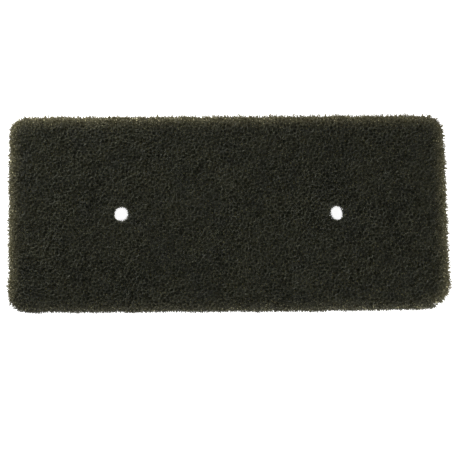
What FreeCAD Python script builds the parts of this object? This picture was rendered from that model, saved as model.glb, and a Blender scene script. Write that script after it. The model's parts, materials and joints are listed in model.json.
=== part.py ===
import FreeCAD, Part
import math
import os
import Sketcher

# Foam filter pad: one flat piece of open-cell foam, die-cut from sheet. It is a slab with
# rounded corners and two holes on its long centreline, for the studs of the tray that it
# lies in. The solid is the closed outer shape of the foam.
#
# Frame: X along the length, Y across the width, Z through the thickness. The origin is the
# middle of the lower face.

NODE = "foam_pad"
PARTS_FOLDER = "parts"

DIMENSIONS = {  # millimetres
    "PadLength": 240.0,
    "PadWidth": 107.0,
    "PadThickness": 10.0,
    "CornerRadius": 11.0,
    "HoleDiameter": 8.0,
    "HoleSpacing": 118.0,  # centre to centre, along X
}

# The sketcher's numbers for the points of an edge, and its name for the sketch's origin.
LINE_START = 1
LINE_END = 2
CENTRE = 3
ORIGIN_POINT = (-1, 1)
X_AXIS = -1

VOLUME_TOLERANCE = 1e-6  # as a share of the volume


def add_dimensions(doc):
    """Adds the spreadsheet that drives every size."""
    sheet = doc.addObject("Spreadsheet::Sheet", "Dimensions")
    for row, (name, value) in enumerate(DIMENSIONS.items(), start=1):
        sheet.set(f"A{row}", name)
        sheet.set(f"B{row}", str(value))
        sheet.setAlias(f"B{row}", name)
    doc.recompute()
    return sheet


def origin_plane(body, role):
    return next(item for item in body.Origin.OriginFeatures if item.Role == role)


def add_sketch(body, name):
    """Adds an empty sketch on the body's own XY plane."""
    sketch = body.newObject("Sketcher::SketchObject", name)
    sketch.AttachmentSupport = [(origin_plane(body, "XY_Plane"), "")]
    sketch.MapMode = "FlatFace"
    return sketch


def add_driven(sketch, name, formula, *constraint):
    """Adds a named constraint whose value follows the spreadsheet."""
    index = sketch.addConstraint(Sketcher.Constraint(*constraint))
    sketch.renameConstraint(index, name)
    sketch.setExpression(f"Constraints.{name}", formula)


def add_slab(body):
    """Pads a rectangle, centred on the origin, to the thickness of the sheet."""
    outline = add_sketch(body, "Outline")
    length, width = DIMENSIONS["PadLength"], DIMENSIONS["PadWidth"]
    corners = [
        FreeCAD.Vector(x * length, y * width, 0)
        for x, y in ((-0.5, -0.5), (0.5, -0.5), (0.5, 0.5), (-0.5, 0.5))
    ]
    sides = [
        outline.addGeometry(Part.LineSegment(start, end))
        for start, end in zip(corners, corners[1:] + corners[:1])
    ]
    for side, following in zip(sides, sides[1:] + sides[:1]):
        outline.addConstraint(
            Sketcher.Constraint("Coincident", side, LINE_END, following, LINE_START)
        )
    front, right, back, left = sides
    for side in (front, back):
        outline.addConstraint(Sketcher.Constraint("Horizontal", side))
    for side in (right, left):
        outline.addConstraint(Sketcher.Constraint("Vertical", side))
    outline.addConstraint(
        Sketcher.Constraint("Symmetric", front, LINE_START, back, LINE_START, *ORIGIN_POINT)
    )
    add_driven(
        outline, "Length", "Dimensions.PadLength",
        "DistanceX", front, LINE_START, front, LINE_END, length,
    )
    add_driven(
        outline, "Width", "Dimensions.PadWidth",
        "DistanceY", right, LINE_START, right, LINE_END, width,
    )

    slab = body.newObject("PartDesign::Pad", "Slab")
    slab.Profile = outline
    slab.setExpression("Length", "Dimensions.PadThickness")
    return slab


def upright_edges(shape):
    """Names the edges that run through the thickness, which are the slab's four corners."""
    return [
        f"Edge{number}"
        for number, edge in enumerate(shape.Edges, start=1)
        if abs(edge.tangentAt(edge.FirstParameter).z) > 0.999
    ]


def round_corners(body, slab):
    corners = body.newObject("PartDesign::Fillet", "Corners")
    corners.Base = (slab, upright_edges(slab.Shape))
    corners.setExpression("Radius", "Dimensions.CornerRadius")
    return corners


def add_stud_holes(body):
    """Cuts the hole on the right through the slab, and mirrors it to the left."""
    circle_sketch = add_sketch(body, "HoleCircle")
    centre = FreeCAD.Vector(DIMENSIONS["HoleSpacing"] / 2, 0, 0)
    circle = circle_sketch.addGeometry(
        Part.Circle(centre, FreeCAD.Vector(0, 0, 1), DIMENSIONS["HoleDiameter"] / 2)
    )
    circle_sketch.addConstraint(Sketcher.Constraint("PointOnObject", circle, CENTRE, X_AXIS))
    add_driven(
        circle_sketch, "Offset", "Dimensions.HoleSpacing / 2",
        "DistanceX", *ORIGIN_POINT, circle, CENTRE, centre.x,
    )
    add_driven(
        circle_sketch, "Diameter", "Dimensions.HoleDiameter",
        "Diameter", circle, DIMENSIONS["HoleDiameter"],
    )

    hole = body.newObject("PartDesign::Pocket", "StudHole")
    hole.Profile = circle_sketch
    hole.Type = "ThroughAll"
    hole.Reversed = True  # the sketch lies on the lower face, so the cut goes upwards

    both_holes = body.newObject("PartDesign::Mirrored", "StudHolePair")
    both_holes.Originals = [hole]
    both_holes.MirrorPlane = (origin_plane(body, "YZ_Plane"), [""])
    body.Tip = both_holes
    return both_holes


def expected_volume():
    """The pad's volume by arithmetic: a rounded slab less two cylinders."""
    size = DIMENSIONS
    corner_loss = (4 - math.pi) * size["CornerRadius"] ** 2
    hole_area = math.pi * (size["HoleDiameter"] / 2) ** 2
    face_area = size["PadLength"] * size["PadWidth"] - corner_loss - 2 * hole_area
    return face_area * size["PadThickness"]


def check(doc, body):
    for item in doc.Objects:
        if "Invalid" in item.State or "Error" in item.State:
            raise RuntimeError(f"{item.Label} failed: {item.State}")
    shape = body.Shape
    if shape.isNull() or not shape.isValid() or len(shape.Solids) != 1:
        raise RuntimeError(f"{body.Label} isn't one valid solid")
    expected = expected_volume()
    if abs(shape.Volume - expected) > VOLUME_TOLERANCE * expected:
        raise RuntimeError(f"{body.Label} has {shape.Volume:.1f} mm3 and not {expected:.1f}")


def build_pad(doc):
    body = doc.addObject("PartDesign::Body", "FoamPad")
    body.Label = NODE
    body.Placement = FreeCAD.Placement()
    slab = add_slab(body)
    doc.recompute()
    round_corners(body, slab)
    doc.recompute()
    add_stud_holes(body)
    doc.recompute()
    return body


def main():
    doc = FreeCAD.newDocument("FoamFilterPad")
    add_dimensions(doc)
    pad = build_pad(doc)
    check(doc, pad)
    os.makedirs(PARTS_FOLDER, exist_ok=True)
    pad.Shape.exportStep(f"{PARTS_FOLDER}/{NODE}.step")
    box = pad.Shape.BoundBox
    print(f"{NODE}: {box.XLength:.1f} x {box.YLength:.1f} x {box.ZLength:.1f} mm, "
          f"{pad.Shape.Volume / 1000:.1f} cm3")


main()
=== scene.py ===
import json
import math
from itertools import combinations

import bpy
import numpy as np
from mathutils import Euler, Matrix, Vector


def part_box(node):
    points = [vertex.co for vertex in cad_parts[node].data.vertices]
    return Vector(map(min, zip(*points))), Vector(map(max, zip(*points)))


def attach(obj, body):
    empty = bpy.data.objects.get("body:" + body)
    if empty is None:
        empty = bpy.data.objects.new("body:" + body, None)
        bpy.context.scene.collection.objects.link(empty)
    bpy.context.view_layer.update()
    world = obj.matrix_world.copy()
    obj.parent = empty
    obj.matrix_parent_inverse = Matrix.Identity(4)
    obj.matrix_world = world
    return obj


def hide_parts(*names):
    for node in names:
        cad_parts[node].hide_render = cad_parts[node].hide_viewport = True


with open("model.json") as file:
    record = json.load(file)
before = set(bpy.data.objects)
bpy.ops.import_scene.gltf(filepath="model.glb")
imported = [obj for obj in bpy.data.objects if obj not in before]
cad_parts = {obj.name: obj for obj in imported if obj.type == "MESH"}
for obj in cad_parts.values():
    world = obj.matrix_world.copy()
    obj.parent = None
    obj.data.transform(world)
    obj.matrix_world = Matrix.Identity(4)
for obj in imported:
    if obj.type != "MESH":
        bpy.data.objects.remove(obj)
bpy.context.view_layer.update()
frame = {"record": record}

# The pad lies in the frame with X along it, Y across it and Z through it, in metres.
padLow, padHigh = (np.array(corner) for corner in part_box("foam_pad"))
padMiddle = (padLow + padHigh) / 2
padHalf = (padHigh - padLow) / 2
studHoles = [mount for mount in frame["record"]["mounts"] if mount["kind"] == "bore"]
print(f"frame: a pad of {np.round(2000 * padHalf, 1)} mm with {len(studHoles)} stud holes")

outline = {
    "aside": (-0.0006, -0.0003),  # where the knife put the middle, from halfway between the holes
    "leftLean": 0.0006,  # the left end stands out this far at the front and in at the back
    "rightLean": 0.0019,
    "frontLift": 0.0012,  # the front edge is cut this far back at its right end
    "frontBend": 3,  # and the higher this is, the nearer to that end it starts
    "cornerRadius": 0.0103,
    "bluntRadius": 0.0138,  # the front right corner
    "waviness": 0.00025,  # the knife wandered this far, in waves of these lengths
    "waveLengths": (0.017, 0.031),
    "nick": (0.1136, -0.0500, 0.0010),  # where the blunt corner is torn, and the tear's radius
    # the left and the right hole: how far the foam has closed it, how oval it is and which way
    "punched": ((0.0, 0.00010, 0.4), (0.00022, 0.00040, 1.85)),
}


def beyond(points):
    # How far points are out through the rim, the holes' walls and the flat faces: negative inside.
    x, y, z = np.moveaxis(points - padMiddle, -1, 0)
    x, y = x - outline["aside"][0], y - outline["aside"][1]
    front = y < 0
    lean = np.where(x > 0, outline["rightLean"], outline["leftLean"])
    lift = outline["frontLift"] * np.clip(x / padHalf[0], 0, 1) ** outline["frontBend"] * front
    reachX = np.abs(x) + lean * y / padHalf[1] - padHalf[0]
    reachY = np.abs(y) + lift - padHalf[1]
    radius = np.where((x > 0) & front, outline["bluntRadius"], outline["cornerRadius"])
    reach = np.stack([reachX, reachY], -1) + radius[..., None]
    rim = np.linalg.norm(np.clip(reach, 0, None), axis=-1) + np.minimum(reach.max(-1), 0) - radius
    for length in outline["waveLengths"]:
        rim += outline["waviness"] / 2 * np.sin(math.tau * (x + y) / length)
    nickX, nickY, nickWidth = outline["nick"]
    rim = np.maximum(rim, nickWidth - np.hypot(points[..., 0] - nickX, points[..., 1] - nickY))

    hole = np.full(rim.shape, -1.0)
    for bore, (closed, oval, way) in zip(studHoles, outline["punched"]):
        x, y = np.moveaxis(points[..., :2] - np.array(bore["pos_m"][:2]), -1, 0)
        radius = bore["dims"]["r_mm"] / 1000 - closed + oval * np.cos(2 * (np.arctan2(y, x) - way))
        hole = np.maximum(hole, radius - np.hypot(x, y))
    return np.stack([rim, hole, np.abs(z) - padHalf[2]], -1)


def outside(points):
    return beyond(points).max(-1)


def unit(vectors):
    return vectors / np.linalg.norm(vectors, axis=-1, keepdims=True)


def outward(points):
    # The way out of the pad through whichever surface is nearest, from a small step each way.
    smallStep = 1e-5  # metres
    steps = smallStep * np.eye(3)
    return unit(np.stack([outside(points + step) - outside(points - step) for step in steps], -1))


foam = {
    "cellWidth": 0.0026,  # about 20 pores to the inch, a usual coarse filter grade
    "cornerWidth": 0.00049,  # across a junction; a strut runs straight from one to the next
    "cornerSpread": 0.15,  # junctions are this share wider or narrower
    "unevenness": 0.5,  # nearly all cells stray less than this share of their width
    "cellsInBlock": 150,  # the web repeats after this many cells, before they stray
    "blockTurn": (0.61, -1.13, 2.02),  # radians, so that the repeat doesn't line up with the pad
    # where struts are cut: the furthest in and out, how much oftener they are short than long, and
    # how far they spring straight out. The front of the rim was cut cleaner than the rest.
    "cuts": {
        "rim": (-0.00040, 0.00150, 1.5, 1.2),
        "holes": (0.00000, 0.00075, 1.0, 0.4),
        "faces": (-0.00030, 0.00040, 1.5, 0.4),
        "frontRim": (-0.00010, 0.00085, 1.5, 1.2),
    },
    "shortestCut": 0.05,  # a cut strut keeps at least this share of a cell's width
    "cutHalvings": 8,  # rounds in which the place of each cut is narrowed down
    "tipWidth": 0.6,  # a cut end's width, as a share of the strut's
    "strutsToHold": 12,  # a junction this many struts from the pad's inside still hangs on
    "strips": (8, 3),  # the web is kept in this many meshes along and across
    "seed": 11,
}
cutSides = list(foam["cuts"])  # the first three in the order that beyond gives them

# Each two of a junction's four cells share a window, and the windows are numbered.
windowCells = np.array(list(combinations(range(4), 2)))
windowNumber = np.full((4, 4), -1)
windowNumber[windowCells[:, 0], windowCells[:, 1]] = np.arange(6)
windowNumber[windowCells[:, 1], windowCells[:, 0]] = np.arange(6)
otherCells = np.array([[other for other in range(4) if other != cell] for cell in range(4)])


def spreadCentres(count, rng):
    # Cell centres in a unit cube that repeats, pushed apart until they are evenly spaced.
    centres = rng.random((count, 3))
    spacing = count ** (-1 / 3)
    elbowRoom, nudge, rounds = 1.25, 0.15, 80  # the first two in spacings
    for turn in range(rounds):
        gaps = centres[:, None] - centres
        gaps -= np.round(gaps)
        far = np.linalg.norm(gaps, axis=2) + np.eye(count)
        push = np.clip(elbowRoom - far / spacing, 0, None) / far
        centres = centres + nudge * spacing * (gaps * push[..., None]).sum(1)
    return centres % 1


def findJunctions(centres):
    # A junction is equally far from four cell centres, and no other centre is nearer to it. Each
    # of its four cells is a number in the block and the block's step along X, Y and Z.
    count = len(centres)
    spacing = count ** (-1 / 3)
    furthestCell, furthestJunction, flattest = 2.3 * spacing, 1.15 * spacing, 1e-4 * spacing**3
    rounding = 1e-9  # a junction's own cells may seem nearer to it by this share
    steps = np.array(list(np.ndindex(3, 3, 3))) - 1
    places = (centres + steps[:, None]).reshape(-1, 3)
    cells = np.tile(np.arange(count), len(steps))
    steps = np.repeat(steps, count, axis=0)
    found = []
    for cell in range(count):
        gaps = places - centres[cell]
        far = np.linalg.norm(gaps, axis=1)
        near = np.flatnonzero((far < furthestCell) & (far > 0))
        later = [index for index, other in enumerate(near) if cells[other] > cell]
        if len(later) < 3:
            continue
        triples = np.array(list(combinations(later, 3)))
        points = gaps[near]
        solid = np.abs(np.linalg.det(points[triples])) > flattest
        triples = triples[solid]
        squares = (points[triples] ** 2).sum(2)[..., None]
        middle = np.linalg.solve(points[triples], squares / 2)[..., 0]
        radius = np.linalg.norm(middle, axis=1)
        close = radius < furthestJunction
        triples, middle, radius = triples[close], middle[close], radius[close]
        nearest = np.linalg.norm(points[None] - middle[:, None], axis=2).min(1)
        for triple in near[triples[nearest > radius * (1 - rounding)]]:
            found.append([(cell, 0, 0, 0)] + [(cells[other], *steps[other]) for other in triple])
    return np.array(found)


def joinJunctions(junctions):
    # A strut runs between two junctions that share three cells. For the strut that leaves each
    # junction away from each of its cells: the junction at its far end, the step to that one's
    # block, and the three cells in one order, as this junction and as that one number them.
    ends = {}
    for number, corners in enumerate(junctions):
        for left in range(4):
            shared = sorted((tuple(corners[cell]), cell) for cell in otherCells[left])
            block = np.array(shared[0][0][1:])
            key = tuple((corner[0], *(np.array(corner[1:]) - block)) for corner, cell in shared)
            ends.setdefault(key, []).append((number, left, block, [cell for corner, cell in shared]))
    far = np.zeros((len(junctions), 4), int)
    step, near, farCells = (np.zeros((len(junctions), 4, 3), int) for array in range(3))
    for pair in ends.values():
        if len(pair) != 2:
            raise RuntimeError("a strut has one end: try another seed")
        for here, there in (pair, pair[::-1]):
            number, left, block, order = here
            far[number, left] = there[0]
            step[number, left] = block - there[2]
            near[number, left] = order
            farCells[number, left] = there[3]
    return far, step, near, farCells


def growWeb(rng):
    # Repeats one block of foam over the pad and then moves every cell a little. For each junction:
    # its cells' centres, and for each of its struts the far junction, or -1, and its cells' order.
    count = foam["cellsInBlock"]
    centres = spreadCentres(count, rng)
    junctions = findJunctions(centres)
    far, step, nearOrder, farOrder = joinJunctions(junctions)
    block = (count * math.pi / 6) ** (1 / 3) * foam["cellWidth"]  # a cell fills as much as a ball
    print(f"foam block: {count} cells and {len(junctions)} junctions in {block * 1000:.1f} mm")

    turn = np.array(Euler(foam["blockTurn"], "ZYX").to_matrix())
    padCorners = (np.array(list(np.ndindex(2, 2, 2))) * 2 - 1) * (padHalf + foam["cellWidth"])
    reach = padCorners @ turn / block
    low = np.floor(reach.min(0)).astype(int) - 1
    size = np.ceil(reach.max(0)).astype(int) + 2 - low
    tiles = np.moveaxis(np.indices(size), 0, -1)
    cells = (tiles[..., None, :] + low + centres) * block
    deviation = foam["unevenness"] * foam["cellWidth"] / 3
    cells += rng.normal(0, deviation, cells.shape)
    cells = cells @ turn.T + padMiddle

    # Only blocks that reach into the pad are kept, and none from the outermost layer.
    tiles = tiles[1:-1, 1:-1, 1:-1].reshape(-1, 3)
    middles = (tiles + low + 0.5) * block @ turn.T + padMiddle
    tiles = tiles[outside(middles) < block]
    number = np.full(size, -1)
    number[tuple(tiles.T)] = np.arange(len(tiles))

    corners = tiles[:, None, None] + junctions[None, :, :, 1:]
    corners = cells[(*np.moveaxis(corners, -1, 0), junctions[None, :, :, 0])]
    beside = tiles[:, None, None] + step
    known = ((beside >= 0) & (beside < size)).all(-1)
    beside = number[tuple(np.moveaxis(np.clip(beside, 0, size - 1), -1, 0))]
    far = np.where(known & (beside >= 0), beside * len(junctions) + far, -1)
    return {
        "cells": corners.reshape(-1, 4, 3),
        "far": far.reshape(-1, 4),
        "nearOrder": np.tile(nearOrder, (len(tiles), 1, 1)),
        "farOrder": np.tile(farOrder, (len(tiles), 1, 1)),
    }


def ringOf(order):
    # The three windows round a strut, from the three cells round it.
    return windowNumber[order, np.roll(order, -1, axis=1)]


def facing(faces, points, towards):
    # Turns each face over if it looks away from the cell that it borders.
    corners = points[faces]
    normal = np.cross(corners[:, 1] - corners[:, 0], corners[:, 2] - corners[:, 1])
    normal += np.cross(corners[:, -1] - corners[:, -2], corners[:, 0] - corners[:, -1])
    wrong = ((towards - corners.mean(1)) * normal).sum(1) < 0
    return np.where(wrong[:, None], faces[:, ::-1], faces)


def strutSides(nearRing, farRing, points, cells):
    # Three sides join a strut's two rings, and each looks towards one of the cells round it.
    onward = [1, 2, 0]
    faces = np.stack([nearRing, nearRing[:, onward], farRing[:, onward], farRing], -1)
    return facing(faces.reshape(-1, 4), points, cells[:, onward].reshape(-1, 3))


def cutEnds(near, far, carriesOn, rng):
    # The ring of points where each cut strut ends. One that carries on in the next mesh stops
    # halfway at its full width. The others spring outward and stop at a depth drawn for them, but
    # none stands further out of the flat faces than the knife left it there.
    side = beyond((near + far).mean(1) / 2).argmax(-1)
    atFront = near.mean(1)[:, 1] < padLow[1] + foam["cellWidth"]
    side[(side == cutSides.index("rim")) & atFront] = cutSides.index("frontRim")
    furthestIn, furthestOut, skew, spring = np.array(list(foam["cuts"].values()))[side].T
    depth = furthestIn + (furthestOut - furthestIn) * rng.random(len(side)) ** skew
    way = unit(unit((far - near).mean(1)) + spring[:, None] * outward(near.mean(1)))
    far = np.where(carriesOn[:, None, None], far, near + foam["cellWidth"] * way[:, None])
    # Both ends of the search are shares of the way to far.
    low, high = np.full(near.shape[:2], foam["shortestCut"]), np.ones(near.shape[:2])
    for halving in range(foam["cutHalvings"]):
        share = (low + high) / 2
        reach = beyond(near + share[..., None] * (far - near))
        over = (reach.max(-1) > depth[:, None]) | (reach[..., 2] > foam["cuts"]["faces"][1])
        low, high = np.where(over, low, share), np.where(over, share, high)
    share[carriesOn] = 0.5
    ring = near + share[..., None] * (far - near)
    middle = ring.mean(1, keepdims=True)
    return middle + np.where(carriesOn, 1, foam["tipWidth"])[:, None, None] * (ring - middle)


def meshOf(name, points, *groups):
    # An object from its points and one or more arrays of faces.
    mesh = bpy.data.meshes.new(name)
    mesh.vertices.add(len(points))
    mesh.vertices.foreach_set("co", points.astype(np.float32).ravel())
    corners = np.concatenate([faces.ravel() for faces in groups])
    mesh.loops.add(len(corners))
    mesh.loops.foreach_set("vertex_index", corners.astype(np.int32))
    sizes = np.concatenate([np.full(len(faces), faces.shape[1]) for faces in groups])
    mesh.polygons.add(len(sizes))
    mesh.polygons.foreach_set("loop_start", (np.cumsum(sizes) - sizes).astype(np.int32))
    mesh.update(calc_edges=True)
    mesh.polygons.foreach_set("use_smooth", np.ones(len(sizes), bool))
    if mesh.validate():
        print(f"{name}: Blender repaired some faces")
    piece = bpy.data.objects.new(name, mesh)
    bpy.context.scene.collection.objects.link(piece)
    return piece


def webPiece(name, number, web, rng):
    # One mesh of the web: its junctions, the struts between them and its halves of the struts
    # that are cut off or carry on next to it.
    strip, points, cells = web["strip"], web["points"], web["cells"]
    here = np.flatnonzero(strip == number)
    place = np.zeros(len(strip), int)
    place[here] = np.arange(len(here)) * len(windowCells)
    local = points[here].reshape(-1, 3)

    # Each junction has a small triangle for each of its cells, and a strut away from it.
    start, cell = np.repeat(here, 4), np.tile(np.arange(4), len(here))
    corners = place[start][:, None] + windowNumber[cell[:, None], otherCells[cell]]
    triangles = [facing(corners, local, cells[start, cell])]

    end = web["far"][start, cell]
    whole = (end >= 0) & (strip[end] == number)
    nearOrder, farOrder = web["nearOrder"][start, cell], web["farOrder"][start, cell]
    nearRing, farRing = ringOf(nearOrder), ringOf(farOrder)
    nearCells = cells[start[:, None], nearOrder]
    once = whole & (start < end)
    rings = [place[start[once]][:, None] + nearRing[once], place[end[once]][:, None] + farRing[once]]
    struts = [strutSides(*rings, local, nearCells[once])]

    cut = ~whole & (end >= 0)
    carriesOn = strip[end[cut]] >= 0
    near = points[start[cut][:, None], nearRing[cut]]
    tips = cutEnds(near, points[end[cut][:, None], farRing[cut]], carriesOn, rng)
    tipRing = len(local) + np.arange(tips[..., 0].size).reshape(-1, 3)
    local = np.concatenate([local, tips.reshape(-1, 3)])
    struts.append(strutSides(place[start[cut]][:, None] + nearRing[cut], tipRing, local, nearCells[cut]))
    triangles.append(facing(tipRing, local, 2 * tips.mean(1) - near.mean(1)))

    piece = meshOf(name, local, *triangles, *struts)
    # Attributes for the painted light: each point's depth in from the rim for the rim glow, and the free
    # cut ends for the glints.
    cutTipGlint = np.zeros(len(local))
    cutTipGlint[tipRing] = ~carriesOn[:, None]
    frontShift = dyeAndPaintedLight["frontGlowShift"] * np.clip(1 - (local[:, 1] - padLow[1]) / dyeAndPaintedLight["rimGlowDepth"], 0, 1)
    for label, values in {"rimGlowDepth": frontShift - beyond(local)[:, 0], "cutTipGlint": cutTipGlint}.items():
        attribute = piece.data.attributes.new(label, "FLOAT", "POINT")
        attribute.data.foreach_set("value", values.astype(np.float32))
    count = sum(map(len, triangles)) + 2 * sum(map(len, struts))
    print(f"{name}: {len(local)} points, {count} triangles")
    return piece


def makeWeb():
    rng = np.random.default_rng(foam["seed"])
    web = growWeb(rng)
    place = web["cells"].mean(1)
    spread = foam["cornerSpread"]
    half = foam["cornerWidth"] / 2 * rng.uniform(1 - spread, 1 + spread, len(place))

    # A junction is inside when most of it is. Loose crumbs are dropped: what stays hangs together
    # with the junctions that lie half a cell or more inside.
    inside = outside(place) < -half / 2
    held = inside & (outside(place) < -foam["cellWidth"] / 2)
    for step in range(foam["strutsToHold"]):
        held |= inside & (held[web["far"]] & (web["far"] >= 0)).any(1)
    print(f"web: {held.sum()} junctions kept and {(inside & ~held).sum()} loose ones dropped")

    strips = np.array(foam["strips"])
    share = (place - padLow)[:, :2] / (padHigh - padLow)[:2]
    strip = np.clip((share * strips).astype(int), 0, strips - 1) @ [strips[1], 1]
    web["strip"] = np.where(held, strip, -1)

    # A junction has six points, one towards the middle of each window beside it.
    window = web["cells"][:, windowCells].mean(2) - place[:, None]
    web["points"] = place[:, None] + half[:, None, None] * unit(window)
    return [webPiece(f"foam_web_{number + 1:02d}", number, web, rng) for number in range(strips.prod())]


def linear(hexCode):
    parts = [int(hexCode[start : start + 2], 16) / 255 for start in (1, 3, 5)]
    return [part / 12.92 if part <= 0.04045 else ((part + 0.055) / 1.055) ** 2.4 for part in parts] + [1]


def addNode(tree, kind, settings, sockets):
    # A node with its settings, and each input as a plain value or as the socket that feeds it.
    node = tree.nodes.new(kind)
    for name, value in settings.items():
        setattr(node, name, value)
    for socket, value in sockets.items():
        if isinstance(value, bpy.types.NodeSocket):
            tree.links.new(value, node.inputs[socket])
        else:
            node.inputs[socket].default_value = value
    return node


def newMaterial(name, settings):
    # A material with one Principled shader, which is set up and returned with its tree.
    material = bpy.data.materials.new(name)
    material.use_nodes = True
    tree = material.node_tree
    tree.nodes.clear()
    shader = addNode(tree, "ShaderNodeBsdfPrincipled", {}, settings)
    addNode(tree, "ShaderNodeOutputMaterial", {}, {"Surface": shader.outputs[0]})
    return material, tree, shader


# The dye's own colours, and the painted light laid over them: an olive glow at the rim and pale glints
# on the cut ends.
dyeAndPaintedLight = {
    "darkPatch": "#1d1f14",
    "palePatch": "#28291b",
    "patchWidth": 0.012,  # metres
    "patchEdges": (0.35, 0.65),  # the noise values where a patch starts and is full
    # painted glow: olive where light would come in through the rim, fading inward
    "rim": "#4e492d",
    "rimGlowDepth": 0.0082,  # the painted rim glow has faded out this far in
    "rimFade": 1.6,  # above 1, most of it is near the outside
    "frontGlowShift": 0.0041,  # the front rim gets less painted glow, as if it lay this much deeper
    # painted glints: free cut ends paler, as if they caught the light
    "cutTipGlint": "#50523f",
    "glintStart": 0.5,  # how far along a cut strut the painted glint starts
    "roughness": 0.46,
    "ior": 1.35,  # polyurethane's 1.5, less its matt skin
}


def foamWithPaintedLight():
    # Reticulated polyurethane foam, dyed black in the mass and cut with a knife: near-black struts
    # with a soft sheen, in faint darker and paler patches. The olive rim is painted glow, standing in
    # for light that comes in through the pad's edges, and the paler cut ends are painted glints.
    settings = {"Roughness": dyeAndPaintedLight["roughness"], "IOR": dyeAndPaintedLight["ior"]}
    material, tree, shader = newMaterial("reticulatedFoamWithPaintedLight", settings)
    coords = addNode(tree, "ShaderNodeTexCoord", {}, {})
    noiseInputs = {"Vector": coords.outputs["Object"], "Scale": 1 / dyeAndPaintedLight["patchWidth"]}
    noise = addNode(tree, "ShaderNodeTexNoise", {}, noiseInputs)
    patches = addNode(tree, "ShaderNodeValToRGB", {}, {"Fac": noise.outputs["Fac"]})
    for stop, place, colour in zip(
        patches.color_ramp.elements, dyeAndPaintedLight["patchEdges"], (dyeAndPaintedLight["darkPatch"], dyeAndPaintedLight["palePatch"])
    ):
        stop.position = place
        stop.color = linear(colour)

    # Painted glow: the rim turns olive, fading inward, where light would come in through the edges.
    depth = addNode(tree, "ShaderNodeAttribute", {"attribute_name": "rimGlowDepth"}, {})
    fadeInputs = {"Value": depth.outputs["Fac"], "From Max": dyeAndPaintedLight["rimGlowDepth"], "To Min": 1, "To Max": 0}
    glowFade = addNode(tree, "ShaderNodeMapRange", {}, fadeInputs)
    curve = addNode(
        tree, "ShaderNodeMath", {"operation": "POWER"}, {0: glowFade.outputs[0], 1: dyeAndPaintedLight["rimFade"]}
    )
    # A colour mix has its colours on inputs 6 and 7 and its result on output 2.
    rimInputs = {0: curve.outputs[0], 6: patches.outputs["Color"], 7: linear(dyeAndPaintedLight["rim"])}
    rim = addNode(tree, "ShaderNodeMix", {"data_type": "RGBA"}, rimInputs)

    # Painted glints: the free cut ends turn paler, as if they caught the light.
    cut = addNode(tree, "ShaderNodeAttribute", {"attribute_name": "cutTipGlint"}, {})
    nearTipInputs = {"Value": cut.outputs["Fac"], "From Min": dyeAndPaintedLight["glintStart"]}
    nearTip = addNode(tree, "ShaderNodeMapRange", {}, nearTipInputs)
    tipInputs = {0: nearTip.outputs[0], 6: rim.outputs[2], 7: linear(dyeAndPaintedLight["cutTipGlint"])}
    glintMix = addNode(tree, "ShaderNodeMix", {"data_type": "RGBA"}, tipInputs)
    tree.links.new(glintMix.outputs[2], shader.inputs["Base Color"])
    return material


web = makeWeb()
foamMaterial = foamWithPaintedLight()
for piece in web:
    piece.data.materials.append(foamMaterial)
    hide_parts("foam_pad")
    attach(piece, "root")
print(f"pad: {len(web)} meshes in dyed foam")

studio = {
    "table": "#e7e7e7",
    "tableRoughness": 0.6,
    "tableGlow": 0.95,
    "tableRadius": 3.0,
    "tableDrop": 0.0004,  # each sheet lies this far under the pad
    "wallHeight": 0.5,
    # the card stands in for the shade under the pad, with a painted glow for fill light
    "card": "#b5b08c",
    "cardRoughness": 0.8,
    "cardLight": "#8a8560",  # the colour of its painted glow, which stands in for fill light from below
    "cardGlow": 0.16,
    "cardDrop": 0.0003,
    "cardInset": 0.0004,  # from the pad's outline
    "cardSides": 360,
    "cardHalvings": 16,  # rounds in which each corner of the card is narrowed down
    "holeDrop": 0.0002,
    "sides": 48,  # of each round sheet
    "sky": 0.05,
    # the direction to each lamp and its power in watts
    "lamps": {
        "back": ((-0.7, 1.0, 0.50), 3.4),
        "left": ((-1.0, 0.6, 0.50), 3.5),
        "right": ((1.0, -0.7, 0.50), 3.25),
        "front": ((0.9, -1.0, 0.50), 1.05),
    },
    "lampDistance": 0.5,
    "lampSize": 0.30,
}


def lightTable():
    # Opal acrylic lit from below: an even, pale floor that takes no shadow from the pad.
    settings = {
        "Base Color": linear(studio["table"]),
        "Roughness": studio["tableRoughness"],
        "Emission Color": (1, 1, 1, 1),
        "Emission Strength": studio["tableGlow"],
    }
    return newMaterial("opalAcrylic", settings)[0]


def glowingShadeCard():
    # A sheet that stands in for the shade under the pad: flat and warm, with a faint painted glow for
    # fill light from below.
    settings = {
        "Base Color": linear(studio["card"]),
        "Roughness": studio["cardRoughness"],
        "Emission Color": linear(studio["cardLight"]),
        "Emission Strength": studio["cardGlow"],
    }
    return newMaterial("shadeCardWithPaintedGlow", settings)[0]


def ringAt(points, height):
    return np.column_stack([points, np.full(len(points), padLow[2] + height)])


def stagePiece(name, material, points, faces):
    piece = meshOf(name, points, faces)
    piece.data.materials.append(material)


def stageSheet(name, material, points, drop):
    stagePiece(name, material, ringAt(points, -drop), np.arange(len(points))[None])


def cardOutline():
    # Just inside the pad's own outline, found along rays from its middle.
    turns = np.arange(studio["cardSides"]) * math.tau / studio["cardSides"]
    rays = np.column_stack([np.cos(turns), np.sin(turns), np.zeros(len(turns))])
    near, far = np.zeros((len(rays), 1)), np.full((len(rays), 1), padHalf[0] * 2)
    for halving in range(studio["cardHalvings"]):
        reach = (near + far) / 2
        over = beyond(padMiddle + rays * reach)[:, :1] > -studio["cardInset"]
        near, far = np.where(over, near, reach), np.where(over, reach, far)
    return (padMiddle + rays * near)[:, :2]


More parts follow.
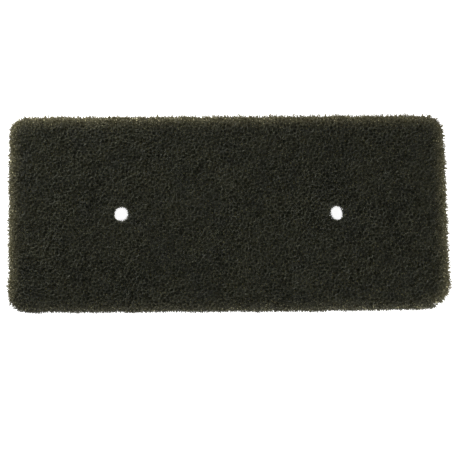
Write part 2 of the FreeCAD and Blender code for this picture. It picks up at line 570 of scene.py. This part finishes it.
def makeStage():
    number = np.arange(studio["sides"])
    turns = number * math.tau / len(number)
    circle = np.column_stack([np.cos(turns), np.sin(turns)])
    table = lightTable()
    edge = circle * studio["tableRadius"]
    stageSheet("floor", table, edge, studio["tableDrop"])
    # A low wall round the table is the pale background in low views.
    onward = np.roll(number, -1)
    wallFaces = np.stack([number, onward, onward + len(number), number + len(number)], 1)
    wallPoints = [ringAt(edge, -studio["tableDrop"]), ringAt(edge, studio["wallHeight"])]
    stagePiece("wall", table, np.concatenate(wallPoints), wallFaces)
    # The card is painted shade under the web and keeps the table's full light out of it, and a lit disc
    # on it fills each hole.
    stageSheet("card", glowingShadeCard(), cardOutline(), studio["cardDrop"])
    for bore in studHoles:
        edge = np.array(bore["pos_m"][:2]) + circle * bore["dims"]["r_mm"] / 1000
        stageSheet(bore["name"] + "_light", table, edge, studio["holeDrop"])


def makeLights():
    world = bpy.data.worlds.new("studio")
    bpy.context.scene.world = world
    world.use_nodes = True
    sky = world.node_tree.nodes["Background"]
    sky.inputs["Color"].default_value = (1, 1, 1, 1)
    sky.inputs["Strength"].default_value = studio["sky"]
    for name, (direction, power) in studio["lamps"].items():
        light = bpy.data.lights.new(name, "AREA")
        light.size = studio["lampSize"]
        light.energy = power
        lamp = bpy.data.objects.new(name, light)
        lamp.location = unit(np.array(direction)) * studio["lampDistance"]
        lamp.rotation_euler = (-lamp.location).to_track_quat("-Z", "Y").to_euler()
        bpy.context.scene.collection.objects.link(lamp)


makeStage()
makeLights()
print(f"studio: light table, card and {len(studio['lamps'])} lamps")

view = {
    "frameWidth": 0.250,  # across the picture at the pad's upper face
    "height": 2.0,
    "aside": (0.0, -0.0085),  # from above the pad's middle
    "turn": -0.25,  # degrees
    "sensor": 36,  # millimetres
}


def makeCamera():
    camera = bpy.data.objects.new("camera", bpy.data.cameras.new("camera"))
    bpy.context.scene.collection.objects.link(camera)
    bpy.context.scene.camera = camera
    camera.location = (*view["aside"], padHigh[2] + view["height"])
    camera.rotation_euler = (0, 0, math.radians(view["turn"]))
    camera.data.sensor_width = view["sensor"]
    camera.data.lens = view["sensor"] * view["height"] / view["frameWidth"]
    bpy.context.scene.view_settings.view_transform = "Standard"


makeCamera()
print("camera: straight above the pad")
